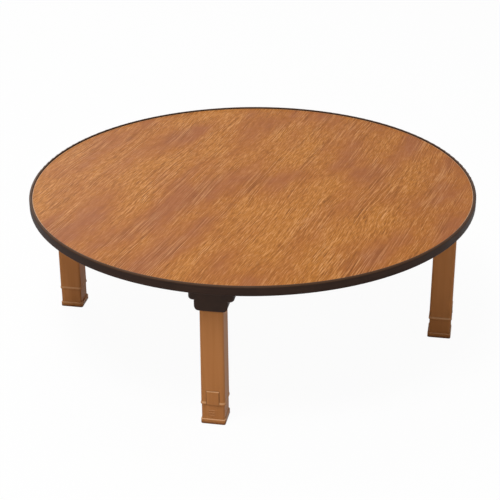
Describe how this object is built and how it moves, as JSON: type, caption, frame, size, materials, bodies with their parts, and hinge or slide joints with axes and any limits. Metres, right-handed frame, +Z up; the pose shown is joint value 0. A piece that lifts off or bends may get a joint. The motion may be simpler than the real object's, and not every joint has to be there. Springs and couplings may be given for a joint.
{
  "type": "folding low table",
  "caption": "Round low table with a wood-grain top, dark plastic edge band and square plastic legs that fold flat under the top and lock open by sprung leaves with push buttons",
  "frame": {"origin": "on the floor under the middle of the round top, with the legs unfolded", "axes": "+Z up; the four legs stand on +X (right), +Y (back), -X (left) and -Y (front)"},
  "size_m": [0.8, 0.8, 0.2755],
  "materials": {
    "wood_decor": "satin wood-grain decor sheet",
    "fibreboard": "raw",
    "backing_paper": "matte",
    "edge_plastic": "satin",
    "bracket_plastic": "satin",
    "leg_plastic": "satin",
    "button_plastic": "satin",
    "zinc_steel": "zinc plated",
    "spring_steel": "rolled",
    "pad_rubber": "matte"
  },
  "bodies": {
    "tabletop": {"panel_core": "fibreboard", "top_laminate": "wood_decor", "backing_sheet": "backing_paper", "edge_band": "edge_plastic", "bracket_screws": "zinc_steel", "pin_clips": "spring_steel", "bracket_right": "bracket_plastic", "hinge_pin_right": "zinc_steel", "lock_leaf_right": "spring_steel", "bracket_back": "bracket_plastic", "hinge_pin_back": "zinc_steel", "lock_leaf_back": "spring_steel", "bracket_left": "bracket_plastic", "hinge_pin_left": "zinc_steel", "lock_leaf_left": "spring_steel", "bracket_front": "bracket_plastic", "hinge_pin_front": "zinc_steel", "lock_leaf_front": "spring_steel"},
    "folding_leg_right": {"leg_right": "leg_plastic", "foot_cap_right": "leg_plastic", "foot_pad_right": "pad_rubber"},
    "button_right": {"release_button_right": "button_plastic"},
    "folding_leg_back": {"leg_back": "leg_plastic", "foot_cap_back": "leg_plastic", "foot_pad_back": "pad_rubber"},
    "button_back": {"release_button_back": "button_plastic"},
    "folding_leg_left": {"leg_left": "leg_plastic", "foot_cap_left": "leg_plastic", "foot_pad_left": "pad_rubber"},
    "button_left": {"release_button_left": "button_plastic"},
    "folding_leg_front": {"leg_front": "leg_plastic", "foot_cap_front": "leg_plastic", "foot_pad_front": "pad_rubber"},
    "button_front": {"release_button_front": "button_plastic"}
  },
  "joints": [
    {"name": "leg_right_fold", "type": "hinge", "parent": "tabletop", "child": "folding_leg_right", "pos_m": [0.351, 0, 0.2285], "axis": [0, 1, 0], "range_deg": [0, 90], "deforming": ["lock_leaf_right"]},
    {"name": "leg_back_fold", "type": "hinge", "parent": "tabletop", "child": "folding_leg_back", "pos_m": [0, 0.351, 0.2285], "axis": [-1, 0, 0], "range_deg": [0, 90], "deforming": ["lock_leaf_back"]},
    {"name": "leg_left_fold", "type": "hinge", "parent": "tabletop", "child": "folding_leg_left", "pos_m": [-0.351, 0, 0.2285], "axis": [0, -1, 0], "range_deg": [0, 90], "deforming": ["lock_leaf_left"]},
    {"name": "leg_front_fold", "type": "hinge", "parent": "tabletop", "child": "folding_leg_front", "pos_m": [0, -0.351, 0.2285], "axis": [1, 0, 0], "range_deg": [0, 90], "deforming": ["lock_leaf_front"]},
    {"name": "button_right_press", "type": "slide", "parent": "tabletop", "child": "button_right", "axis": [1, 0, 0], "range_m": [0, 0.005], "stiffness_N_per_m": 400, "springref_m": -0.003, "deforming": ["lock_leaf_right"]},
    {"name": "button_back_press", "type": "slide", "parent": "tabletop", "child": "button_back", "axis": [0, 1, 0], "range_m": [0, 0.005], "stiffness_N_per_m": 400, "springref_m": -0.003, "deforming": ["lock_leaf_back"]},
    {"name": "button_left_press", "type": "slide", "parent": "tabletop", "child": "button_left", "axis": [-1, 0, 0], "range_m": [0, 0.005], "stiffness_N_per_m": 400, "springref_m": -0.003, "deforming": ["lock_leaf_left"]},
    {"name": "button_front_press", "type": "slide", "parent": "tabletop", "child": "button_front", "axis": [0, -1, 0], "range_m": [0, 0.005], "stiffness_N_per_m": 400, "springref_m": -0.003, "deforming": ["lock_leaf_front"]}
  ]
}
